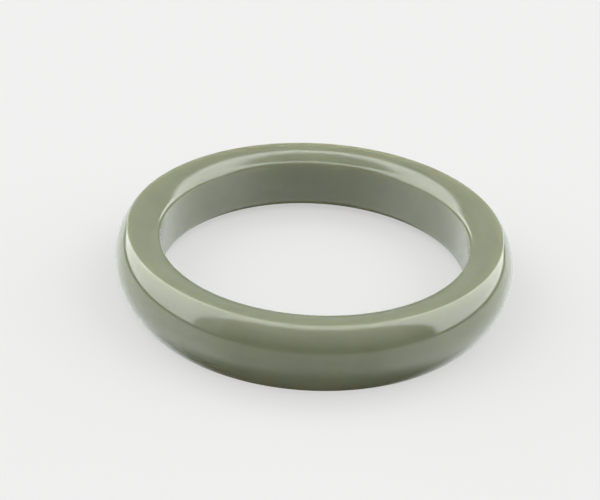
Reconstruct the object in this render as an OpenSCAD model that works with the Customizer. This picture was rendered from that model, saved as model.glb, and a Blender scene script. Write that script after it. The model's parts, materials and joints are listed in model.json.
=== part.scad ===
// Bangle bracelet: one closed ring, cut and polished from a single piece of jade.
// It lies flat on its lower face. The origin is on that face, in the middle of the ring, +Z up.

/* [Wrist] */
// Diameter of the opening that the hand goes through
inner_d = 58; // [52:0.5:64]

/* [Ring] */
// Width of the ring along the arm, from face to face
ring_w = 13.2; // [10:0.1:16]
// Thickness of the stone from the opening to the crown of the outside
wall_t = 8.4; // [8:0.1:9.5]
// How far the domed outside stands out beyond the rim of the faces
dome_rise = 2.5; // [1.5:0.1:2.9]

/* [Faces] */
// Radius of the slow curve on which each face falls away towards the opening
face_curve_r = 8; // [5:0.1:8.6]
// Angle that the slow curve turns through
face_curve_turn = 35; // [20:1:38]

/* [Edges] */
// Radius of the edge that runs from the slow curve into the opening
opening_edge_r = 1.5; // [0.8:0.1:2]
// Radius of the small edge between a face and the domed outside
rim_edge_r = 0.4; // [0.2:0.05:0.6]

/* [Finish] */
// Colour of the polished stone
stone_colour = "#98A28B"; // [#98A28B:celadon, #7E9A78:green, #C9CDB9:pale]

/* [Hidden] */
$fn = 256;

inner_r = inner_d / 2;
outer_r = inner_r + wall_t;
mid_z = ring_w / 2;

// The outside is one arc through both sharp rims and the crown.
dome_r = (pow(mid_z, 2) + pow(dome_rise, 2)) / (2 * dome_rise);
dome_x = outer_r - dome_r;

// The rim edge is an arc that runs smoothly into the flat of the face and into the dome.
rim_edge_z = mid_z - rim_edge_r;
rim_edge_x = sqrt(pow(dome_r - rim_edge_r, 2) - pow(rim_edge_z, 2));
rim_edge_angle = atan2(rim_edge_z, rim_edge_x);

// The slow curve and the opening edge meet in one direction, so both centres lie on one line.
meet_angle = 90 + face_curve_turn;
opening_edge_x = inner_r + opening_edge_r;
face_curve_x = opening_edge_x + (face_curve_r - opening_edge_r) * sin(face_curve_turn);
face_curve_z = mid_z - face_curve_r;
opening_edge_z = face_curve_z + (face_curve_r - opening_edge_r) * cos(face_curve_turn);

function polar(r, angle) = [r * cos(angle), r * sin(angle)];

// Square blank of the wall, with the outside cut to the dome.
module wall_blank() {
    intersection() {
        translate([inner_r, 0]) square([wall_t, ring_w]);
        translate([dome_x, mid_z]) circle(r = dome_r);
    }
}

// What is ground off outside an arc, between two angles about the centre of the arc.
module edge_waste(r, from, to) {
    difference() {
        polygon([[0, 0], polar(3 * r, from), polar(3 * r, to)]);
        circle(r = r);
    }
}

// Everything that is ground off the upper half of the section, about its middle line.
module upper_waste() {
    translate([dome_x + rim_edge_x, rim_edge_z]) edge_waste(rim_edge_r, rim_edge_angle, 90);
    translate([face_curve_x, face_curve_z]) edge_waste(face_curve_r, 90, meet_angle);
    translate([opening_edge_x, opening_edge_z]) edge_waste(opening_edge_r, meet_angle, 180);
}

module section() {
    difference() {
        wall_blank();
        translate([0, mid_z]) upper_waste();
        translate([0, mid_z]) mirror([0, 1]) upper_waste();
    }
}

module bangle() {
    color(stone_colour) rotate_extrude() section();
}

bangle();
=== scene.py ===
# %% [markdown]
# # A jade bangle, from its section to its polish
#
# This bangle is one closed ring of celadon jade. A maker saws a slab, cores it twice with tube drills,
# and grinds the ring that is left until its section is right all round. Then it is polished on leather.
# So there is one piece here and no joint, clasp or seam to hide.
#
# The lesson follows the maker: first the frame that the ring has to fit, then the section, the ring and
# the stone, and last the table, the light tent and the camera.

# %% Load the frame
import json
import math
from functools import partial

import bpy
from mathutils import Matrix, Vector


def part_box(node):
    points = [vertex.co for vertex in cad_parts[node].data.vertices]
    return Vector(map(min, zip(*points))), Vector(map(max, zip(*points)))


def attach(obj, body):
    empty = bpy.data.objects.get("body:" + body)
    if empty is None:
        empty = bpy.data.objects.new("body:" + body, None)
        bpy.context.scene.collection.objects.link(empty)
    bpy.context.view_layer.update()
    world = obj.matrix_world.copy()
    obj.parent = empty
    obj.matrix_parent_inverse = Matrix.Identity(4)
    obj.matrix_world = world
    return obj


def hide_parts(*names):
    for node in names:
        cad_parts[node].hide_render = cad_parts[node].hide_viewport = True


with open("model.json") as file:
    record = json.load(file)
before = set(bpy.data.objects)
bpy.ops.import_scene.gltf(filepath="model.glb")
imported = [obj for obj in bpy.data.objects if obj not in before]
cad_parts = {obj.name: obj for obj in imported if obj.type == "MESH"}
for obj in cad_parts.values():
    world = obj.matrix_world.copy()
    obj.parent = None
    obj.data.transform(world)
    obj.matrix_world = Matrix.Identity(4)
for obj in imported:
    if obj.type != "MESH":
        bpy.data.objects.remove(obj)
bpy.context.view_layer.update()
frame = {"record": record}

# %% [markdown]
# ## Sizes
#
# A ring of revolution is described by its section alone, so every size here is a place on that section.
# The frame gives the outside, the width and the opening: the first two from the box of the part, the last
# from the mount that a wrist or a stand goes through. The other five are the sizes of the arcs: how far
# the domed outside stands out past the rim, how tightly the rim is eased, how the upper face curves down
# to the opening, and the small round where it turns into the wall.

# %% Section sizes, in metres
MM = 0.001
ring_low, ring_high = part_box("bangle")
opening = next(m for m in frame["record"]["mounts"] if m["name"] == "wrist_opening")["dims"]
INNER_R = opening["r_mm"] * MM
OUTER_R = ring_high.y
RING_W = ring_high.z - ring_low.z
DOME_RISE = 2.5 * MM
RIM_EDGE_R = 0.4 * MM
FACE_CURVE_R = 8.0 * MM
FACE_CURVE_TURN = math.radians(35)
OPENING_EDGE_R = 1.5 * MM
MID_Z = RING_W / 2
print(f"opening {2000 * INNER_R:.1f} mm, outside {2000 * OUTER_R:.1f} mm, width {1000 * RING_W:.1f} mm")

# %% [markdown]
# ## The section as arcs
#
# The section could be a handful of points under a subdivision modifier, but a subdivided cage only comes
# near to an arc, and a high polish shows the difference at once in its reflections. So each round stretch
# is a true arc, and each arc starts where the last one ends, in the same direction. The maker works to
# the same rule: a polished edge has no step that a finger can feel.

# %% Arcs of the section
ARC_STEP = math.radians(1.6)
EDGE_STEP = math.radians(4)
RIM_STEP = math.radians(5)


def arc(centre, radius, start, end, step=ARC_STEP):
    """Points along an arc from one angle to another, with the direction that each one faces."""
    count = max(2, math.ceil(abs(end - start) / step))
    angles = [start + (end - start) * i / count for i in range(count + 1)]
    return [
        (centre[0] + radius * math.cos(a), centre[1] + radius * math.sin(a), math.cos(a), math.sin(a))
        for a in angles
    ]


dome_r = (MID_Z**2 + DOME_RISE**2) / (2 * DOME_RISE)
dome_x = OUTER_R - dome_r
rim_z = MID_Z - RIM_EDGE_R
rim_x = math.sqrt((dome_r - RIM_EDGE_R) ** 2 - rim_z**2)
rim_angle = math.atan2(rim_z, rim_x)
quarter = math.pi / 2
meet = quarter + FACE_CURVE_TURN
edge_x = INNER_R + OPENING_EDGE_R
curve_x = edge_x + (FACE_CURVE_R - OPENING_EDGE_R) * math.sin(FACE_CURVE_TURN)
curve_z = MID_Z - FACE_CURVE_R
edge_z = curve_z + (FACE_CURVE_R - OPENING_EDGE_R) * math.cos(FACE_CURVE_TURN)

opening_edge = arc((edge_x, edge_z), OPENING_EDGE_R, 2 * quarter, meet, EDGE_STEP)
face_curve = arc((curve_x, curve_z), FACE_CURVE_R, meet, quarter)
rim_edge = arc((dome_x + rim_x, rim_z), RIM_EDGE_R, quarter, rim_angle, RIM_STEP)
dome = arc((dome_x, 0), dome_r, rim_angle, -rim_angle)
upper_half = opening_edge + face_curve[1:] + rim_edge
lower_half = [(r, -z, nr, -nz) for r, z, nr, nz in reversed(upper_half)]
section = upper_half + dome[1:-1] + lower_half
print(f"section of {len(section)} points, dome radius {1000 * dome_r:.2f} mm")

# %% [markdown]
# ## Spinning the ring
#
# A Screw modifier or a lathe would spin the section, but both leave the shading directions to be guessed
# from the faces. Here the ring is built face by face, and each corner gets the exact direction of the arc
# it lies on, so the reflections run as smoothly as they do on the stone.

# %% Spin the section into a ring
AROUND = 480


def spin(name, outline, around):
    """A closed ring: the outline turned about the Z axis, with exact shading directions."""
    points, facing, faces = [], [], []
    for i in range(around):
        turn = 2 * math.pi * i / around
        c, s = math.cos(turn), math.sin(turn)
        points += [(r * c, r * s, MID_Z + z) for r, z, _, _ in outline]
        facing += [(nr * c, nr * s, nz) for _, _, nr, nz in outline]
    n = len(outline)
    for i in range(around):
        a, b = i * n, (i + 1) % around * n
        for j in range(n):
            k = (j + 1) % n
            faces.append((a + j, a + k, b + k, b + j))
    mesh = bpy.data.meshes.new(name)
    mesh.from_pydata(points, [], faces)
    mesh.shade_smooth()
    mesh.normals_split_custom_set_from_vertices(facing)
    piece = bpy.data.objects.new(name, mesh)
    bpy.context.scene.collection.objects.link(piece)
    return piece


bangle = spin("jade_bangle", section, AROUND)
print(f"{len(bangle.data.vertices)} points and {len(bangle.data.polygons)} faces")

# %% [markdown]
# ## Colours and nodes
#
# Colours are written as the hex values that a colour picker shows, and one function turns them into the
# linear light that the renderer works in. A second pair of functions adds nodes, so that each finish
# below reads as a short list of what is laid over what.

# %% Helpers for colours and nodes
def srgb(hex_colour):
    """A colour written as sRGB hex, turned into linear light."""
    parts = [int(hex_colour[i : i + 2], 16) / 255 for i in (1, 3, 5)]
    return [p / 12.92 if p <= 0.04045 else ((p + 0.055) / 1.055) ** 2.4 for p in parts] + [1.0]


def fill(node, sockets):
    """Sets sockets by name or place. An output is linked, a plain value is set, None is left alone."""
    for key, value in sockets.items():
        if isinstance(value, bpy.types.NodeSocket):
            node.id_data.links.new(value, node.inputs[key])
        elif value is not None:
            node.inputs[key].default_value = value


def add(tree, kind, *inputs, **settings):
    """Adds a node and returns its first output. Settings are properties of the node or sockets by name."""
    node = tree.nodes.new("ShaderNode" + kind)
    sockets = dict(enumerate(inputs))
    for name, value in settings.items():
        if hasattr(node, name):
            setattr(node, name, value)
        else:
            sockets[name] = value
    fill(node, sockets)
    return node.outputs[0] if node.outputs else node


def new_material(name):
    """A material, its shader, and a function that adds nodes to it."""
    material = bpy.data.materials.new(name)
    material.use_nodes = True
    tree = material.node_tree
    return material, tree.nodes["Principled BSDF"], partial(add, tree)


print("middle grey in linear light:", [round(c, 3) for c in srgb("#808080")])

# %% [markdown]
# ## The stone: its tone
#
# Nephrite is a felt of fine fibres, and celadon is its quiet grey green. The colour is never quite even:
# it drifts in clouds about as wide as a finger nail, and the felt gives a much finer mottle. Real felt is
# too fine to see, so it is drawn coarser, at 1.2 mm. The two together change the tone by about five
# percent either way, because a stone of this grade looks almost plain. A painted map could do the same,
# but a solid pattern runs through the stone and so has no seam where the ring closes.

# %% Clouds and felt in the stone
CLOUD = 9.0 * MM
FELT = 1.2 * MM
CLOUD_SHARE = 0.8
CELADON_DEEP = srgb("#5F6250")
CELADON_PALE = srgb("#646855")

jade, stone, lay = new_material("nephrite_polished_on_leather")
place = lay("TexCoord").node.outputs["Object"]
cloud = lay("TexNoise", place, Scale=1 / CLOUD, Detail=2.0)
felt = lay("TexNoise", place, Scale=1 / FELT, Detail=3.0, Roughness=0.6)
drift = lay("MapRange", cloud, 0.3, 0.7, 0.0, CLOUD_SHARE)
mottle = lay("MapRange", felt, 0.35, 0.65, 0.0, 1 - CLOUD_SHARE)
tone = lay("ValToRGB", lay("Math", drift, mottle, operation="ADD")).node
tone.color_ramp.elements[0].color = CELADON_DEEP
tone.color_ramp.elements[1].color = CELADON_PALE
fill(stone, {"Base Color": tone.outputs["Color"]})
print(f"clouds of {1000 * CLOUD:.1f} mm, felt of {1000 * FELT:.1f} mm")

# %% [markdown]
# ## The stone: its polish
#
# Grit on leather leaves nephrite with the shine of oiled wax: reflections are clear, but their edges are
# soft. So the roughness is low and not zero, and it drifts a little with the clouds, because paler felt
# takes a better polish. Leather also gives way under the hand, which leaves waves a few millimetres long
# and only some thousandths of a millimetre deep. They cannot be seen as shape, only as a slight
# unsteadiness of a reflection. Modelling them in the mesh would cost many faces, so they are a bump.

# %% Shine and hand-polished waves
POLISH_WAVE = 3.0 * MM
POLISH_DEPTH = 0.006 * MM
DULLER, SHINIER = 0.1, 0.085

shine = lay("MapRange", cloud, 0.3, 0.7, DULLER, SHINIER)
waves = lay("TexNoise", place, Scale=1 / POLISH_WAVE, Detail=0.0)
bump = lay("Bump", Height=waves, Strength=1.0, Distance=POLISH_DEPTH)
fill(stone, {"Roughness": shine, "Normal": bump})
print(f"waves {1000 * POLISH_WAVE:.1f} mm long and {1000 * POLISH_DEPTH:.3f} mm deep")

# %% [markdown]
# ## The stone: its body
#
# Light goes some way into jade before it comes out again, which is why it looks moist and deep and not
# like painted clay. Red travels furthest and blue least, so shaded parts turn warm and olive. The index
# of 1.61 is that of nephrite, and it sets how strongly the surface mirrors at a glancing angle.
# Glass-like transmission would be wrong: nothing can be seen through this stone.

# %% Light inside the stone, and the ring on its body
NEPHRITE_IOR = 1.61
LIGHT_REACH = 11.0 * MM
REACH_BY_COLOUR = (1.0, 0.8, 0.5)

fill(stone, {"IOR": NEPHRITE_IOR, "Subsurface Weight": 1.0})
fill(stone, {"Subsurface Radius": REACH_BY_COLOUR, "Subsurface Scale": LIGHT_REACH})
bangle.data.materials.append(jade)
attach(bangle, "root")
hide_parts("bangle")
print("material", jade.name, "on", bangle.name)

# %% [markdown]
# ## The table
#
# The ring lies on a plain sheet of matt white acrylic that is lit from above and from below, as on a
# light table, so its shadow is only a soft touch at the foot. More than half of its brightness is that
# glow, so its own tone is a grey. A polished ring mirrors everything near it, and a real table is not as
# evenly white as it looks: its front lies in the shade of the camera. So the sheet is left out of mirror
# reflections, and the table that the stone mirrors is drawn with the tent, in the next steps. The sheet
# is a wide disc, so that no edge of it shows from any side.

# %% The sheet under the ring
SHEET_R = 3.0
SHEET_SIDES = 128
SHEET_TONE = srgb("#696868")
GLOW_TONE = srgb("#FFFEFD")
GLOW = 0.52

white_sheet, sheet, _ = new_material("acrylic_sheet_matt_lit_from_below")
fill(sheet, {"Base Color": SHEET_TONE, "Roughness": 0.9, "Specular IOR Level": 0.1})
fill(sheet, {"Emission Color": GLOW_TONE, "Emission Strength": GLOW})

turns = [2 * math.pi * i / SHEET_SIDES for i in range(SHEET_SIDES)]
edge = [(SHEET_R * math.cos(t), SHEET_R * math.sin(t), 0) for t in turns]
sheet_mesh = bpy.data.meshes.new("floor")
sheet_mesh.from_pydata(edge, [], [range(SHEET_SIDES)])
sheet_mesh.materials.append(white_sheet)
floor = bpy.data.objects.new("floor", sheet_mesh)
bpy.context.scene.collection.objects.link(floor)
floor.visible_glossy = False
print(f"sheet {2 * SHEET_R:.0f} m across")

# %% [markdown]
# ## The light tent: directions
#
# Jewellers show polished things inside a tent of white cloth, so that every curve mirrors one calm
# surface. A few area lamps would show as hard rectangles in the dome. The tent here is the world itself,
# and each of its parts is worked out from two angles: how high a direction points, and how far round it
# is from the front or from the back.

# %% Angles of a direction
world = bpy.data.worlds.new("light_tent")
world.use_nodes = True
world.node_tree.nodes.clear()
hang = partial(add, world.node_tree)
SMOOTH = {"interpolation_type": "SMOOTHSTEP"}

x, y, z = hang("SeparateXYZ", hang("TexCoord").node.outputs["Generated"]).node.outputs
up = hang("Math", hang("Math", z, operation="ARCSINE"), operation="DEGREES")
forwards = hang("Math", y, -1.0, operation="MULTIPLY")
from_front = hang("Math", hang("Math", x, forwards, operation="ARCTAN2"), operation="DEGREES")
from_back = hang("Math", hang("Math", x, y, operation="ARCTAN2"), operation="DEGREES")
print("angles of a direction take", len(world.node_tree.nodes), "nodes")

# %% [markdown]
# ## The light tent: cloth
#
# The cloth is brighter above than near the table, and dimmer where it leans over the camera. There is an
# opening in its roof, a little to the front, which keeps the flat upper face from washing out. The light
# side bands on the dome are this cloth.

# %% The cloth and the opening in its roof
CLOTH_LOW, CLOTH_HIGH = 3.1, 3.6
ROOF_SHADE = 0.6
ROOF_OPEN, ROOF_CLOSED = 0.93, 0.83
ROOF_TILT = math.radians(8)
BEYOND_ROOF = 0.6

cloth = hang("MapRange", up, -4.0, 22.0, CLOTH_LOW, CLOTH_HIGH, **SMOOTH)
to_front = hang("MapRange", y, -0.2, -0.6, 0.0, ROOF_SHADE, **SMOOTH)
shade = hang("Math", to_front, hang("MapRange", up, 60.0, 75.0, **SMOOTH), operation="MULTIPLY")
cloth = hang("Math", cloth, hang("Math", 1.0, shade, operation="SUBTRACT"), operation="MULTIPLY")
along_z = hang("Math", z, math.cos(ROOF_TILT), operation="MULTIPLY")
along_y = hang("Math", y, -math.sin(ROOF_TILT), operation="MULTIPLY")
overhead = hang("Math", along_z, along_y, operation="ADD")
roof = hang("MapRange", overhead, ROOF_OPEN, ROOF_CLOSED, **SMOOTH)
cloth = hang("Math", cloth, roof, operation="MULTIPLY")
cloth = hang("Math", cloth, BEYOND_ROOF, operation="ADD")
print(f"roof opening {2 * math.degrees(math.acos(ROOF_OPEN)):.0f} degrees wide before it fades")

# %% [markdown]
# ## The light tent: two arches
#
# The front of the tent is open for the camera. On the dome that opening shows as a dark arch with soft
# ends, and its foot as the thin dark line that runs round the front. The room beyond it gets lighter with
# height, and on the left a thin fold of cloth hangs into it. At the back a grey sweep hangs behind the
# ring, and the flat upper face mirrors it and so stays calm and dark.

# %% The front opening and the sweep at the back
def arch(across, width, height, squareness, softness):
    """Nothing inside an arch that stands on the table, and one outside it. Angles are in degrees."""
    side = hang("Math", hang("Math", across, width, operation="DIVIDE"), operation="ABSOLUTE")
    side = hang("Math", side, squareness, operation="POWER")
    above = hang("Math", hang("Math", up, 0.0, operation="MAXIMUM"), height, operation="DIVIDE")
    above = hang("Math", above, 2.0, operation="POWER")
    both = hang("Math", side, above, operation="ADD")
    return hang("MapRange", both, 1 - softness, 1 + softness, **SMOOTH)


FRONT_HALF, FRONT_TALL, FRONT_TO_RIGHT = 66.0, 40.5, 3.0
SWEEP_FOOT, SWEEP_HALF, SWEEP_TALL = 30.0, 47.0, 60.0
ROOM_PER_DEGREE = 0.033
FOLD_LIGHT = 0.7
SWEEP_LIGHT = 0.5

from_middle = hang("Math", from_front, FRONT_TO_RIGHT, operation="SUBTRACT")
front = arch(from_middle, FRONT_HALF, FRONT_TALL, squareness=3.3, softness=0.1)
sweep_width = hang("MapRange", up, 5.0, 28.0, SWEEP_FOOT, SWEEP_HALF, **SMOOTH)
back = arch(from_back, sweep_width, SWEEP_TALL, squareness=2.0, softness=0.15)
above_table = hang("Math", up, 0.0, operation="MAXIMUM")
room = hang("Math", above_table, ROOM_PER_DEGREE, operation="MULTIPLY")
fold = hang("MapRange", from_front, -44.0, -49.0, 0.0, FOLD_LIGHT, **SMOOTH)
room = hang("Math", room, fold, operation="ADD")
print(f"front opening {2 * FRONT_HALF:.0f} degrees wide, sweep {2 * SWEEP_HALF:.0f} degrees wide")

# %% [markdown]
# ## The light tent: the table in it
#
# Below the cloth comes the table as the stone mirrors it: bright at the sides, where it catches the
# cloth, and dim in front. It ends in the dark under the ring.

# %% The mirrored table, and the whole tent
TABLE_FRONT, TABLE_SIDE = 0.7, 1.4
TABLE_BACK_SHARE = 0.6
TENT_TONE = srgb("#FBFFFF")

round_by = hang("Math", from_front, operation="ABSOLUTE")
table = hang("MapRange", round_by, 30.0, 70.0, TABLE_FRONT, TABLE_SIDE, **SMOOTH)
at_back = hang("MapRange", round_by, 140.0, 170.0, 1.0, TABLE_BACK_SHARE, **SMOOTH)
far_edge = hang("MapRange", up, -6.0, -9.0, **SMOOTH)
under_ring = hang("MapRange", up, -65.0, -40.0, **SMOOTH)
for part in (at_back, far_edge, under_ring):
    table = hang("Math", table, part, operation="MULTIPLY")

hung = hang("Math", cloth, hang("Math", front, back, operation="MULTIPLY"), operation="MULTIPLY")
in_front = hang("Math", room, hang("Math", 1.0, front, operation="SUBTRACT"), operation="MULTIPLY")
behind = hang("Math", hang("Math", 1.0, back, operation="SUBTRACT"), SWEEP_LIGHT, operation="MULTIPLY")
tent = hang("Math", hang("Math", hung, in_front, operation="ADD"), behind, operation="ADD")
tent = hang("Math", tent, hang("MapRange", up, -4.5, -2.5, **SMOOTH), operation="MULTIPLY")
tent = hang("Math", tent, table, operation="ADD")
hang("OutputWorld", hang("Background", TENT_TONE, tent))
bpy.context.scene.world = world
print(len(world.node_tree.nodes), "nodes in the tent")

# %% [markdown]
# ## The camera
#
# The camera stands in front, about 30 degrees above the table, and aims just behind the middle of the
# opening, a little to the left. It is held slightly askew, so the ring seems to dip to one side. The
# colours are shown as they are worked out, without a film look, because a film look would grey the white
# sheet.

# %% Camera in front of the ring
LENS = 72.59
SENSOR = 36.0
STAND = Vector((0, -0.19867, 0.12174))
AIM = Vector((-0.00284, 0.01204, 0))
ROLL = math.radians(2.705)

camera_data = bpy.data.cameras.new("camera")
camera_data.lens = LENS
camera_data.sensor_width = SENSOR
camera_data.clip_start = 0.01
camera = bpy.data.objects.new("camera", camera_data)
bpy.context.scene.collection.objects.link(camera)
camera.location = STAND
look = (AIM - STAND).to_track_quat("-Z", "Y").to_matrix()
camera.rotation_euler = (look @ Matrix.Rotation(ROLL, 3, "Z")).to_euler()
bpy.context.scene.camera = camera
bpy.context.scene.view_settings.view_transform = "Standard"
print(f"camera {1000 * (AIM - STAND).length:.0f} mm from its aim")
